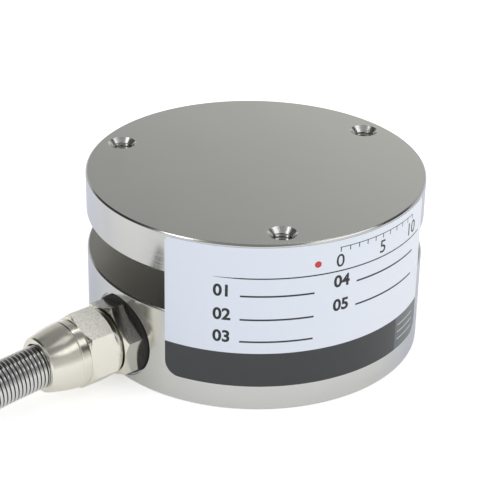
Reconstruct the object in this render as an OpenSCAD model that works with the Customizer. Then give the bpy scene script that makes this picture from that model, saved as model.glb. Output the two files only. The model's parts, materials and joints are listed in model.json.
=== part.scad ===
// Miniature load cell: a round flat steel force sensor with a grooved waist,
// a cable gland on its side and a spring-armoured lead.
// Origin: centre of the base. +Z up, the lead leaves along -Y. Millimetres.

/* [Sensing body] */
// Diameter of the top flange and of the lower housing
body_d = 80; // [74:1:96]
// Overall height of the body
body_h = 42; // [40:0.5:51]
// Thickness of the top flange
flange_t = 10; // [8:0.5:13]
// Height of the lower housing
housing_h = 22.5; // [22:0.5:27]
// Diameter of the neck that joins flange and housing
neck_d = 38; // [31:0.5:42]
// Fillet at both ends of the neck
neck_fillet = 2; // [1:0.5:3]
// Chamfer round the top of the flange
flange_chamfer = 0.5; // [0.2:0.1:1]
// Chamfer round the top of the housing
housing_chamfer = 0.8; // [0.2:0.1:1]
// Chamfer round the base and under the flange
small_chamfer = 0.3; // [0.1:0.1:0.6]

/* [Gauge cavity] */
// Thickness of the diaphragm that bends under load
diaphragm_t = 5; // [3.5:0.5:5.5]
// Width of the base rim outside the cover
rim_w = 7; // [6.5:0.1:8.5]
// Width of the ledge that the cover is screwed to
ledge_w = 5.5; // [5:0.1:7]
// Fillet round the ceiling of the cavity
cavity_fillet = 0.8; // [0.3:0.1:0.8]
// Thickness of the bottom cover
cover_t = 1.7; // [1.3:0.1:2.2]
// How far the cover stands back from the base face
cover_inset = 0.3; // [0:0.1:0.6]
// Thickness of the gasket on the ledge
gasket_t = 0.5; // [0.3:0.1:0.8]

/* [Cover screws] */
// Number of cover screws
cover_screws_n = 6; // [4:2:6]
// Diameter of the screw shank
cover_screw_d = 2.3; // [1.8:0.1:2.8]
// Diameter of the countersunk head
cover_screw_head_d = 4.6; // [3.6:0.1:5]
// Length of the screw, head and all
cover_screw_l = 6; // [4:0.5:7]

/* [Fixing holes] */
// Tapping diameter of the fixing holes, for an M5 thread
tap_d = 4.2; // [3.3:0.1:5]
// Number of holes in the flange and in the base
fixing_n = 3; // [3:1:3]
// Distance of the flange holes from the flange's edge
top_hole_inset = 5.5; // [4.5:0.1:8]
// Diameter of the countersink round each flange hole
countersink_d = 6.4; // [5:0.1:7.6]
// Distance of the base holes from the housing's edge
base_hole_inset = 4; // [3.5:0.1:4.4]
// Depth of the base holes
base_hole_l = 12; // [8:0.5:14]

/* [Cable gland] */
// Height of the gland's axis
gland_z = 10.6; // [10.3:0.1:11]
// Diameter of the gland's thread in the housing
gland_thread_d = 12; // [9:0.5:12]
// Length of thread in the housing's wall
gland_thread_l = 10; // [6:0.5:10.5]
// Diameter of the milled spot-face that the gland seats on
spotface_d = 20; // [19.6:0.1:20.4]
// Depth of the spot-face at its middle
spotface_t = 1.3; // [1.3:0.1:1.8]
// Diameter of the seal ring
seal_d = 19; // [17:0.5:19.4]
// Thickness of the seal ring
seal_t = 1; // [0.6:0.1:1.4]
// Width across the flats of both hexagons
hex_af = 16; // [15:0.5:17]
// Thickness of the nut's wall round the gland body's shank
nut_wall = 1.4; // [1.2:0.1:1.6]
// Thickness of the shank's wall round the grommet
shank_wall = 1.5; // [1:0.1:1.8]
// Length of the gland body's hexagon
body_hex_l = 4.5; // [3.5:0.5:6]
// Turn of the gland body's hexagon from level
body_hex_turn = 17; // [0:1:59]
// Gap between the gland body's hexagon and the nut
nut_gap = 0.4; // [0.3:0.1:1]
// Length of the nut's round collar
nut_collar_l = 1.3; // [1:0.1:2]
// Length of the nut's hexagon
nut_hex_l = 7; // [6:0.5:9]
// Turn of the nut's hexagon from level
nut_hex_turn = 41; // [0:1:59]
// Length of the plain round step after the nut's hexagon
nut_step_l = 2.3; // [1:0.1:3]
// Length of the nut's tapered nose
nut_nose_l = 7.2; // [6:0.1:10]
// Diameter at the end of the nose
nut_nose_d = 13; // [12.4:0.1:14]
// Depth of the socket that holds the hose
hose_socket_l = 7.4; // [5:0.1:7.4]

/* [Lead] */
// Outer diameter of the armoured hose
hose_d = 10; // [9:0.1:10.2]
// Diameter of the signal cable inside it
cable_d = 5; // [4:0.1:5.6]
// Diameter of each insulated core
core_d = 1; // [0.8:0.1:1.1]
// Length of the ferrule on the hose's far end
ferrule_l = 12; // [11:0.5:13]
// Diameter of the ferrule
ferrule_d = 11.6; // [11.2:0.1:11.8]

/* [Gauges and board] */
// Length, width and thickness of a strain gauge
gauge_size = [6.4, 5, 0.15];
// Length, width and thickness of a solder terminal
terminal_size = [2.5, 4, 0.3];
// Gap between a gauge and its terminal
terminal_gap = 0.8; // [0.4:0.1:1]
// Diameter of the bridge board
board_d = 24; // [22:0.5:26]
// Thickness of the bridge board
board_t = 1.6; // [1:0.1:1.6]
// Thickness of the foam pad that holds the board
pad_t = 1; // [0.5:0.1:1]

/* [Rating label] */
// Width of the label round the body
label_w = 70.7; // [50:0.1:75]
// Azimuth of the label's middle
label_azimuth = 341.3; // [335:0.1:345]
// Lower edge of the label
label_z0 = 6.3; // [3:0.1:8]
// Distance of the label's upper edge below the body's top
label_top_gap = 0.7; // [0.6:0.1:3]
// Thickness of the label
label_t = 0.15; // [0.1:0.05:0.3]
// Corner radius at the top
label_top_r = 1.5; // [0.5:0.5:3]
// Corner radius at the bottom
label_bottom_r = 3.5; // [0.5:0.5:5]

/* [Hidden] */

// Facets of large and of small round forms
big_fn = 96;
small_fn = 48;
// Clearance of parts that slide into each other
fit = 0.05;
// Thickness of the glue under the label
glue_t = 0.02;
// How far a cutter runs past the face that it opens
over = 1;

// Heights and radii of the body
body_r = body_d / 2;
neck_r = neck_d / 2;
groove_top = body_h - flange_t;
recess_r = body_r - rim_w;
cavity_r = recess_r - ledge_w;
ceiling_z = housing_h - diaphragm_t;
cover_top = cover_inset + cover_t;
ledge_z = cover_top + gasket_t;
cover_screw_circle_r = recess_r - ledge_w / 2;
top_hole_r = body_r - top_hole_inset;
base_hole_r = body_r - base_hole_inset;
first_hole_azimuth = 90;
drill_tip = tap_d / 2 * tan(31);

// Stations along the gland's axis, measured from the body's centre
seat_s = body_r - spotface_t;
hex_s = seat_s + seal_t;
nut_s = hex_s + body_hex_l + nut_gap;
nut_hex_s = nut_s + nut_collar_l;
nut_step_s = nut_hex_s + nut_hex_l;
nose_s = nut_step_s + nut_step_l;
nose_end_s = nose_s + nut_nose_l;
socket_s = nose_end_s - hose_socket_l;
hex_r = hex_af / 2;
nut_round_r = hex_r - 0.2;
male_r = nut_round_r - nut_wall;
male_end_s = nut_step_s - 1.9;
grommet_r = male_r - shank_wall;
grommet_s = male_end_s - 5.8;
washer_t = 1;
washer_s = nut_step_s - 0.3 - washer_t;

// Board and wires
cable_r = cable_d / 2;
cable_end_s = 20;
gauge_r = cavity_r - cavity_fillet - gauge_size[0] / 2 - 0.2;
terminal_r = gauge_r - gauge_size[0] / 2 - terminal_gap - terminal_size[0] / 2;
terminal_bottom = ceiling_z - terminal_size[2];
board_bottom = ceiling_z - pad_t - board_t;
gauge_wire_r = 0.35;
core_r = core_d / 2;
first_gauge_azimuth = 45;

// Coil of the lead: centre, lanes and layers, resting on its ties
coil_at = [-60, -114];
coil_z0 = 1;
coil_outer_r = 65;
coil_inner_r = 35;
layer_h = hose_d;
top_lane_r = 52;
end_lane_r = 40;
// Azimuths where the lead's last half lane begins and ends on the top layer
last_lane_from = -36;
last_lane_to = -255.6;
tie_t = 1;
tie_w = 4;
tie_azimuths = [60, 180, 300];

// Route of the hose from the gland's socket to the coil
HOSE_ROUTE = [[0, -55, gland_z], [0, -59, gland_z], [0, -63, 10.5], [0, -67, 10.1], [0, -71, 9.8],
    [0, -75, 9.4], [0, -78, 9.0]];
// The hose's end on the coil, as radius, azimuth and height about the coil's centre
hose_end = [44.5, 104.4, 26.8];
// The end turns in from the circle by this angle
hose_end_turn = 5;
hose_stub_l = 8;

// Route of the cable past the hose's end and of the middle lead, as radius, azimuth and height
TAIL_ROUTE = [[44.5, 93.9, 26.8], [45.1, 89, 26.8], [45.6, 85, 26.4], [45.8, 79, 25],
    [46, 72, 23.8], [46, 64, 23.6], [46, 54, 23.6], [46, 44, 23.6], [46, 34, 23.6], [46, 26, 23.6]];
LEAD_ROUTE = [[46, 25.5, 23.5], [46, 21, 23.1], [46, 16, 22.5], [46, 10, 22], [46, 4, 21.8],
    [46, -4, 21.7], [46, -12, 21.6], [46, -20, 21.6]];
lead_d = 1.1;

// Points on an arc round a centre, from one angle to another
function arc(centre, r, a0, a1, n = 8) =
    [for (i = [0:n]) centre + r * [cos(a0 + (a1 - a0) * i / n), sin(a0 + (a1 - a0) * i / n)]];

// Points on a smooth curve from a to d, leaving towards b and arriving from c
function bend(a, b, c, d, n = 8) =
    [for (i = [0:n]) let (t = i / n, u = 1 - t)
        u * u * u * a + 3 * u * u * t * b + 3 * u * t * t * c + t * t * t * d];

// A point between two, by a share of the way
function between(a, b, share) = a + (b - a) * share;

// The same curve with a short straight start and end, so that its ends are cut square
function squared_bend(a, b, c, d) =
    concat([a], bend(between(a, b, 0.1), b, c, between(d, c, 0.1)), [d]);

// A point about the coil's centre, from radius, azimuth and height
function on_coil(p) = [coil_at[0] + p[0] * cos(p[1]), coil_at[1] + p[0] * sin(p[1]), p[2]];

function unit(v) = v / norm(v);
function heading(path, i) = unit(path[min(i + 1, len(path) - 1)] - path[max(i - 1, 0)]);
function tube_ring(centre, along, r, sides, aside) =
    let (u = unit(cross(along, aside)), v = cross(along, u))
    [for (k = [0:sides - 1]) centre + r * (cos(360 * k / sides) * u + sin(360 * k / sides) * v)];

// A round tube along a path; aside is a direction that the path never takes
module tube(path, r, sides = 8, aside = [0, 0, 1]) {
    last = len(path) - 1;
    points = [for (i = [0:last]) each tube_ring(path[i], heading(path, i), r, sides, aside)];
    start = [for (k = [sides - 1:-1:0]) k];
    end = [for (k = [0:sides - 1]) last * sides + k];
    walls = [for (i = [0:last - 1]) for (k = [0:sides - 1])
        let (a = i * sides + k, b = i * sides + (k + 1) % sides)
        each [[a, b, b + sides], [a, b + sides, a + sides]]];
    polyhedron(points, concat([start], [end], walls));
}

// Puts children on the gland's axis, with their Z outwards and their Y upwards
module on_gland_axis() {
    translate([0, 0, gland_z]) rotate([90, 0, 0]) children();
}

// Puts children at each of n places round the Z axis
module around(n, first = 0) {
    for (i = [0:n - 1]) rotate([0, 0, first + 360 * i / n]) children();
}

// A ring of square section about the Z axis
module square_ring(r0, r1, z0, z1, from = 0, sweep = 360) {
    rotate([0, 0, from]) rotate_extrude(angle = sweep, $fn = big_fn)
        translate([r0, z0]) square([r1 - r0, z1 - z0]);
}

// Section of the turned body, from the cavity's ceiling round the outside to the top
function body_section() = concat(
    [[0, ceiling_z]],
    arc([cavity_r - cavity_fillet, ceiling_z - cavity_fillet], cavity_fillet, 90, 0, 4),
    [[cavity_r, ledge_z], [recess_r, ledge_z], [recess_r, 0]],
    [[body_r - small_chamfer, 0], [body_r, small_chamfer]],
    [[body_r, housing_h - housing_chamfer], [body_r - housing_chamfer, housing_h]],
    arc([neck_r + neck_fillet, housing_h + neck_fillet], neck_fillet, 270, 180, 6),
    arc([neck_r + neck_fillet, groove_top - neck_fillet], neck_fillet, 180, 90, 6),
    [[body_r - small_chamfer, groove_top], [body_r, groove_top + small_chamfer]],
    [[body_r, body_h - flange_chamfer], [body_r - flange_chamfer, body_h], [0, body_h]]);

module flange_hole() {
    sink = (countersink_d - tap_d) / 2;
    translate([top_hole_r, 0, groove_top - over])
        cylinder(d = tap_d, h = flange_t + 2 * over, $fn = small_fn);
    translate([top_hole_r, 0, body_h - sink])
        cylinder(d1 = tap_d, d2 = tap_d + 4 * sink, h = 2 * sink, $fn = small_fn);
}

module base_hole() {
    sink = 0.4;
    translate([base_hole_r, 0, -over])
        cylinder(d = tap_d, h = base_hole_l + over, $fn = small_fn);
    translate([base_hole_r, 0, base_hole_l])
        cylinder(d1 = tap_d, d2 = 0, h = drill_tip, $fn = small_fn);
    translate([base_hole_r, 0, -sink])
        cylinder(d1 = tap_d + 4 * sink, d2 = tap_d, h = 2 * sink, $fn = small_fn);
}

module cover_screw_hole() {
    translate([cover_screw_circle_r, 0, ledge_z - over])
        cylinder(d = cover_screw_d + 2 * fit, h = cover_screw_l + over, $fn = small_fn);
}

// The flange, neck, diaphragm and housing are turned from one bar
module load_cell_body() {
    color("silver") difference() {
        rotate_extrude($fn = big_fn) polygon(body_section());
        around(fixing_n, first_hole_azimuth) flange_hole();
        around(fixing_n, first_hole_azimuth) base_hole();
        around(cover_screws_n) cover_screw_hole();
        on_gland_axis() {
            translate([0, 0, cavity_r - 2 * over])
                cylinder(d = gland_thread_d + 2 * fit, h = rim_w + ledge_w + 2 * over, $fn = small_fn);
            translate([0, 0, seat_s])
                cylinder(d = spotface_d, h = spotface_t + over, $fn = big_fn);
        }
    }
}

// Countersunk screw with its head down at z = 0, enlarged by a clearance
module countersunk_screw(clearance = 0) {
    r = cover_screw_d / 2 + clearance;
    head_r = cover_screw_head_d / 2 + clearance;
    cylinder(r1 = head_r, r2 = r, h = head_r - r, $fn = small_fn);
    translate([0, 0, -clearance]) cylinder(r = head_r, h = clearance, $fn = small_fn);
    cylinder(r = r, h = cover_screw_l, $fn = small_fn);
}

module bottom_cover() {
    color("gainsboro") difference() {
        translate([0, 0, cover_inset]) cylinder(r = recess_r - 2 * fit, h = cover_t, $fn = big_fn);
        around(cover_screws_n)
            translate([cover_screw_circle_r, 0, cover_inset]) countersunk_screw(fit);
    }
}

module cover_gasket() {
    color("dimgray") difference() {
        square_ring(cavity_r, recess_r - 2 * fit, cover_top, ledge_z);
        around(cover_screws_n) translate([cover_screw_circle_r, 0, cover_top - over])
            cylinder(d = cover_screw_d + 4 * fit, h = gasket_t + 2 * over, $fn = small_fn);
    }
}

module cover_screws() {
    socket_af = 1.5;
    socket_l = 0.8;
    color("silver") around(cover_screws_n)
        translate([cover_screw_circle_r, 0, cover_inset]) difference() {
            countersunk_screw();
            translate([0, 0, -over])
                cylinder(d = socket_af / cos(30), h = socket_l + over, $fn = 6);
        }
}

// Cuts one corner of the label: side is 1 or -1 along the arc, up is 1 or -1 along Z
module label_corner(side, up, corner_z, r) {
    turn = side * (label_w / 2 - r) / body_r * 180 / PI;
    rotate([0, 0, turn]) translate([body_r, 0, corner_z - up * r]) rotate([0, 90, 0])
        difference() {
            translate([up > 0 ? -2 * r : 0, side > 0 ? 0 : -2 * r, -over])
                cube([2 * r, 2 * r, 2 * over]);
            cylinder(r = r, h = 4 * over, center = true, $fn = small_fn);
        }
}

// Thin printed label that wraps the body and bridges the groove
module rating_label() {
    label_z1 = body_h - label_top_gap;
    sweep = label_w / body_r * 180 / PI;
    color("lavender") rotate([0, 0, label_azimuth]) difference() {
        square_ring(body_r + glue_t, body_r + glue_t + label_t, label_z0, label_z1, -sweep / 2, sweep);
        for (side = [-1, 1]) {
            label_corner(side, 1, label_z1, label_top_r);
            label_corner(side, -1, label_z0, label_bottom_r);
        }
    }
}

// Turns children to the i-th of the four gauge places
module at_gauge(i) {
    rotate([0, 0, first_gauge_azimuth + 90 * (i - 1)]) children();
}

module strain_gauge(i) {
    color("goldenrod") at_gauge(i) translate([gauge_r, 0, ceiling_z - gauge_size[2] / 2])
        cube(gauge_size, center = true);
}

module solder_terminal(i) {
    color("peru") at_gauge(i) translate([terminal_r, 0, ceiling_z - terminal_size[2] / 2])
        cube(terminal_size, center = true);
}

module gauge_wires(i) {
    from = [terminal_r, 0, terminal_bottom - gauge_wire_r];
    to = [board_d / 2 - 1.5, 0, board_bottom - gauge_wire_r];
    color("firebrick") at_gauge(i)
        tube(bend(from, from + [-2.6, 0, -1.2], [board_d / 2 + 1.2, 0, to[2] - 1.4], to),
            gauge_wire_r, 8, [0, 1, 0]);
}

module board_pad() {
    color("ivory") translate([0, 0, ceiling_z - pad_t])
        cylinder(d = board_d - 4, h = pad_t, $fn = big_fn);
}

module bridge_board() {
    color("darkgreen") translate([0, 0, board_bottom])
        cylinder(d = board_d, h = board_t, $fn = big_fn);
}

// Wire-wound resistor lying under the board, on its two legs
module resistor(x, y, shade) {
    body_r = 1.2;
    half_l = 3.2;
    leg_r = 0.3;
    axis_z = board_bottom - body_r - fit;
    color(shade) translate([x, y, axis_z]) {
        rotate([0, 90, 0]) cylinder(r = body_r, h = 2 * half_l, center = true, $fn = small_fn);
        rotate([0, 90, 0])
            cylinder(r = leg_r, h = 2 * half_l + 1.6, center = true, $fn = small_fn);
        for (side = [-1, 1]) translate([side * (half_l + 0.8 - leg_r), 0, 0])
            cylinder(r = leg_r, h = body_r + fit, $fn = small_fn);
    }
}

// Core from the cable's stripped end, offset by (x, z) there, up to the board at x1
module core_wire(x, z, x1, y1, r, shade) {
    from = [x, -cable_end_s, gland_z + z];
    to = [x1, y1, board_bottom];
    color(shade) tube(squared_bend(from, from + [0, 5, 0], to - [0, 0, 3.4], to), r, 8, [1, 0, 0]);
}

module signal_cable() {
    color("dimgray") on_gland_axis() translate([0, 0, cable_end_s])
        cylinder(r = cable_r, h = socket_s - cable_end_s, $fn = small_fn);
}

module gland_seal() {
    color("black") on_gland_axis()
        square_ring(gland_thread_d / 2 + fit, seal_d / 2, seat_s, hex_s);
}

// Hexagon along Z with its corners turned to a 30 degree chamfer at the chosen ends
module turned_hexagon(s, l, turn, chamfer_start, chamfer_end) {
    corner_r = hex_r / cos(30);
    drop = (corner_r - hex_r) * tan(30);
    intersection() {
        rotate([0, 0, turn]) translate([0, 0, s]) cylinder(r = corner_r, h = l, $fn = 6);
        rotate_extrude($fn = big_fn) polygon([
            [0, s], [chamfer_start ? hex_r : corner_r, s],
            [corner_r, s + (chamfer_start ? drop : 0)],
            [corner_r, s + l - (chamfer_end ? drop : 0)],
            [chamfer_end ? hex_r : corner_r, s + l], [0, s + l]]);
    }
}

module gland_body() {
    thread_s = seat_s - gland_thread_l;
    color("antiquewhite") on_gland_axis() difference() {
        union() {
            translate([0, 0, thread_s])
                cylinder(d = gland_thread_d, h = hex_s - thread_s, $fn = small_fn);
            turned_hexagon(hex_s, body_hex_l, body_hex_turn, false, true);
            translate([0, 0, hex_s]) cylinder(r = male_r, h = male_end_s - hex_s, $fn = small_fn);
        }
        translate([0, 0, thread_s - over])
            cylinder(r = cable_r + 0.5, h = male_end_s - thread_s + 2 * over, $fn = small_fn);
        translate([0, 0, grommet_s])
            cylinder(r = grommet_r + fit, h = male_end_s - grommet_s + over, $fn = small_fn);
    }
}

module gland_grommet() {
    color("darkslategray") on_gland_axis()
        square_ring(cable_r + fit, grommet_r, grommet_s, washer_s);
}

module grommet_washer() {
    color("gainsboro") on_gland_axis()
        square_ring(cable_r + 0.3, male_r - 0.4, washer_s, washer_s + washer_t);
}

// Section of the nut from the start of its collar to its mouth, (radius, station)
function nut_section() =
    let (nose_r = nut_nose_d / 2, lip = 0.4)
    concat(
        [[0, nut_s], [nut_round_r - 0.2, nut_s], [nut_round_r, nut_s + 0.2], [nut_round_r, nose_s]],
        [for (i = [1:6]) let (t = i / 6)
            [nut_round_r - (nut_round_r - nose_r) * pow(t, 1.4), nose_s + (nut_nose_l - lip) * t]],
        [[nose_r - lip, nose_end_s], [0, nose_end_s]]);

// Cap nut with a collar, a hexagon and a tapered nose with the hose's socket
module gland_nut() {
    shoulder_s = washer_s + washer_t;
    color("antiquewhite") on_gland_axis() difference() {
        union() {
            rotate_extrude($fn = big_fn) polygon(nut_section());
            turned_hexagon(nut_hex_s, nut_hex_l, nut_hex_turn, true, true);
        }
        translate([0, 0, nut_s - over])
            cylinder(r = male_r + fit, h = shoulder_s - nut_s + over, $fn = small_fn);
        translate([0, 0, nut_s])
            cylinder(r = cable_r + 0.5, h = nose_end_s - nut_s, $fn = small_fn);
        translate([0, 0, socket_s])
            cylinder(d = hose_d + 2 * fit, h = hose_socket_l + over, $fn = small_fn);
    }
}

// Moves the lead with its socket when another size has moved that
module on_socket() {
    translate([0, -HOSE_ROUTE[0][1] - socket_s, 0]) children();
}

module armour_hose() {
    color("lightgray") tube(HOSE_ROUTE, hose_d / 2, 12);
}

// Puts children at the hose's end, with their Z along the hose
module at_hose_end() {
    translate(on_coil(hose_end)) rotate([0, 0, hose_end[1] - 180 - hose_end_turn])
        rotate([-90, 0, 0]) children();
}

// Outer form of the coiled length: two full layers, and a third with an open half lane
module hose_coil() {
    layer_2_top = coil_z0 + 2 * layer_h;
    coil_top = layer_2_top + layer_h;
    color("lightgray") {
        translate([coil_at[0], coil_at[1], 0]) {
            square_ring(coil_inner_r, coil_outer_r, coil_z0, layer_2_top);
            square_ring(top_lane_r, coil_outer_r, layer_2_top - over, coil_top);
            square_ring(end_lane_r, top_lane_r + over, layer_2_top - over, coil_top,
                last_lane_to, last_lane_from - last_lane_to);
        }
        at_hose_end() translate([0, 0, -over])
            cylinder(r = hose_d / 2 - fit, h = hose_stub_l + over, $fn = small_fn);
    }
}

// Strap round the coil's section
module coil_tie(i) {
    slack = 0.1;
    side = coil_outer_r - coil_inner_r + 2 * slack;
    height = 3 * layer_h + coil_z0 + slack;
    lock = [6, 5, 3];
    color("black") translate([coil_at[0], coil_at[1], 0]) rotate([0, 0, tie_azimuths[i - 1]]) {
        difference() {
            translate([coil_inner_r - slack - tie_t, -tie_w / 2, 0])
                cube([side + 2 * tie_t, tie_w, height + tie_t]);
            translate([coil_inner_r - slack, -tie_w, tie_t])
                cube([side, 2 * tie_w, height - tie_t]);
        }
        translate([top_lane_r + 3, -lock[1] / 2, height + tie_t]) cube(lock);
    }
}

// Metal sleeve crimped over the hose's end, with a hole for the cable
module hose_ferrule() {
    edge = 0.6;
    r = ferrule_d / 2;
    color("antiquewhite") at_hose_end() difference() {
        rotate_extrude($fn = big_fn) polygon([[0, 0.7], [r - 0.2, 0.7], [r, 0.9],
            [r, ferrule_l - edge], [r - edge, ferrule_l], [0, ferrule_l]]);
        translate([0, 0, -over])
            cylinder(r = hose_d / 2 + fit, h = hose_stub_l + over, $fn = small_fn);
        cylinder(r = cable_r + 0.3, h = ferrule_l + over, $fn = small_fn);
    }
}

module cable_tail() {
    color("dimgray") tube([for (p = TAIL_ROUTE) on_coil(p)], cable_r, 12);
}

// One core past the end of the cable's jacket; spread is its place across the fan, height its start
module lead(spread, height, shade) {
    steps = len(LEAD_ROUTE) - 1;
    color(shade) tube([for (i = [0:steps]) let (p = LEAD_ROUTE[i], f = i / steps)
        on_coil([p[0] + spread * (0.6 + 1.6 * f), p[1], p[2] + height * pow(1 - f, 2)])],
        lead_d / 2, 8);
}

load_cell_body();
bottom_cover();
cover_gasket();
cover_screws();
rating_label();
for (i = [1:4]) {
    strain_gauge(i);
    solder_terminal(i);
    gauge_wires(i);
}
board_pad();
bridge_board();
resistor(-4.8, 2.5, "steelblue");  // span_resistor_1
resistor(4.8, 2.5, "steelblue");  // span_resistor_2
resistor(0, 6.5, "tan");  // zero_resistor
core_wire(-0.6, 0.6, -1.5, -8, core_r, "red");  // core_wire_red
core_wire(0.6, 0.6, 1.5, -8, core_r, "black");  // core_wire_black
core_wire(-0.6, -0.6, -4.5, -8, core_r, "green");  // core_wire_green
core_wire(0.6, -0.6, 4.5, -8, core_r, "white");  // core_wire_white
core_wire(0, -1.8, -7.5, -4.5, core_r - 0.1, "silver");  // drain_wire
signal_cable();
gland_seal();
gland_body();
gland_grommet();
grommet_washer();
gland_nut();
on_socket() {
    armour_hose();
    hose_coil();
    for (i = [1:3]) {
        coil_tie(i);
    }
    hose_ferrule();
    cable_tail();
    lead(-2, 0, "red");  // lead_red
    lead(-1, 1, "black");  // lead_black
    lead(1, 1, "green");  // lead_green
    lead(2, 0, "white");  // lead_white
    lead(0, -0.5, "silver");  // lead_shield
}
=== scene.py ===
"""Looks of a miniature load cell, built round its CAD frame. Metres, +Z up, the lead leaves along -Y."""

import json
from math import ceil, cos, pi, radians, sin, sqrt, tan

import bpy
import numpy as np
from mathutils import Matrix, Vector

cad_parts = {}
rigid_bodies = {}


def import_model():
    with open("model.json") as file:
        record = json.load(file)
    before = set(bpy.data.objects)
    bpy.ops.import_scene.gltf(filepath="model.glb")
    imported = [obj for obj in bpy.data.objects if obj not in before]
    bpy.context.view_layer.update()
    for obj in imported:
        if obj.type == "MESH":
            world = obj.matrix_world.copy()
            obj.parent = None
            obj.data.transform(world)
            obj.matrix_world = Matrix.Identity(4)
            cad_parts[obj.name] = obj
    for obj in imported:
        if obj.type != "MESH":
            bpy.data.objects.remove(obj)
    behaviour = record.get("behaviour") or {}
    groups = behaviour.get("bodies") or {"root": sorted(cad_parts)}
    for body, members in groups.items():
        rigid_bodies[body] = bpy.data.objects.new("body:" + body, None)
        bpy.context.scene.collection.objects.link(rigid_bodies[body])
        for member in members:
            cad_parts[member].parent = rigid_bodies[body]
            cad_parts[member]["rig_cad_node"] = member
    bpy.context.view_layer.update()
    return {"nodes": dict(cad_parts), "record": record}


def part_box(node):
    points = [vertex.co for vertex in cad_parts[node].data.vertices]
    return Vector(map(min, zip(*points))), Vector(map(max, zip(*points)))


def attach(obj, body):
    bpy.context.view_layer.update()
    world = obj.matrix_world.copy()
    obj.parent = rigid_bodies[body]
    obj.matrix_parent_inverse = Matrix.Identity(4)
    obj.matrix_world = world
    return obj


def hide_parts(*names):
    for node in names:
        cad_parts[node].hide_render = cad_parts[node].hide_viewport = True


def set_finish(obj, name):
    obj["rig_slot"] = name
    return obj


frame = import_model()
bpy.ops.object.select_all(action="DESELECT")
scene = bpy.context.scene
MM = 0.001

# Sizes of the body, in millimetres, from the frame where it has them
BODY_R, _, BODY_H = (round(reach / MM, 2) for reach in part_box("load_cell_body")[1])
FLANGE_T = 10.0
HOUSING_H = 22.5
GROOVE_TOP = BODY_H - FLANGE_T
NECK_R = 19.0
NECK_FILLET = 2.0
FLANGE_CHAMFER = 0.38
HOUSING_CHAMFER = 0.4
SMALL_CHAMFER = 0.3
RECESS_R = 33.0
CAVITY_R = 27.5
CAVITY_CORNER_R = 0.8
CAVITY_TOP = 17.5
LEDGE_Z = 2.5

# The base's cover and its countersunk socket screws
COVER_R = RECESS_R - 0.1
COVER_LOW, COVER_TOP = 0.3, 2.0
COVER_SCREW_CIRCLE_R = 30.25
COVER_SCREW_R = 1.2
SCREW_HEAD_R = 2.3
SCREW_NECK_Z = 1.45
SCREW_END_Z = 6.3
SOCKET_R, SOCKET_L = 0.87, 1.6

# The tapped fixing holes
HOLE_AZIMUTHS = (90, 210, 330)
TOP_HOLE_CIRCLE_R = 34.5
BASE_HOLE_CIRCLE_R = 36.0
BASE_HOLE_L = 12.0
TAP_R = 2.1
THREAD_R = 2.48
THREAD_PITCH = 0.8
COUNTERSINK_R = 3.4

# Stations along the gland's axis, from the body's centre outwards
GLAND_Z = 10.6
SPOTFACE_R = 10.0
PORT_R = 6.05
PORT_END_S = 25.5
SEAL_R = 9.5
STEM_R = 6.0
STEM_BORE_R = 3.0
SEAT_S = 38.7
HEX_S = 39.7
BODY_HEX_L = 4.5
NUT_S = 44.6
NUT_HEX_S = 45.9
NUT_HEX_L = 7.0
STEP_S = NUT_HEX_S + NUT_HEX_L
NOSE_S = 55.2
NOSE_END_S = round(-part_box("gland_nut")[0].y / MM, 2)
HEX_R = 8.0
BODY_HEX_TURN = 17
NUT_HEX_TURN = 41
NUT_ROUND_R = 7.8
NOSE_R = 6.5
EDGE_BREAK = 0.12
SHANK_R = 6.4
SHANK_END_S = 51.0
SOCKET_S = 55.0
HOSE_R = 5.0

# The label
LABEL_W = 70.7
LABEL_AZIMUTH = 341.3
LABEL_Z0, LABEL_Z1 = (round(corner.z / MM, 2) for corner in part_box("rating_label"))
LABEL_T = 0.15
LABEL_TOP_R, LABEL_BOTTOM_R = 1.5, 3.5
LABEL_STRIPS = 72
PRINT_HALF_T = 0.01
# Its print, across from the left edge and up from the base: ruled fields, header rule, scale, dot and band
FIELD_RULES = [(17.5, 29.4, 34), (17.5, 23.5, 34), (17.5, 17.9, 34), (44.5, 30.1, 65), (44.5, 24.1, 65)]
RULE_HALF_T = 0.22
HEADER_LEFT, HEADER_RIGHT, HEADER_Z = 11.5, 68.5, 33.8
SCALE_LEFT, SCALE_RIGHT, SCALE_Z = 39.8, 64.2, 39.5
FIRST_TICK, HALF_TICK_GAP, HALF_TICK_T, TICK_L = 40.0, 1.2, 0.12, 1.0
DOT_ACROSS, DOT_Z, DOT_R = 34.6, 36.4, 0.8
BAND_TOP, BAND_PALE_FROM = 14.9, 59
FINE_PRINT_LEFT, FINE_PRINT_RIGHT, FINE_PRINT_ROWS = 60, 68, (8.6, 10.5, 12.4)
# Numerals on it: place across and up, size and weight
NUMBERS = [
    ("01", 13.5, 29.2, 4.0, 0.12), ("02", 13.5, 23.3, 4.0, 0.12), ("03", 13.5, 17.7, 4.0, 0.12),
    ("04", 40.6, 29.9, 4.0, 0.12), ("05", 40.6, 23.9, 4.0, 0.12),
    ("0", 40, 34.9, 4.4, 0.02), ("5", 52, 34.9, 4.4, 0.02), ("10", 63.6, 34.9, 4.4, 0.02),
]
LABEL_R = BODY_R + 0.02

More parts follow.
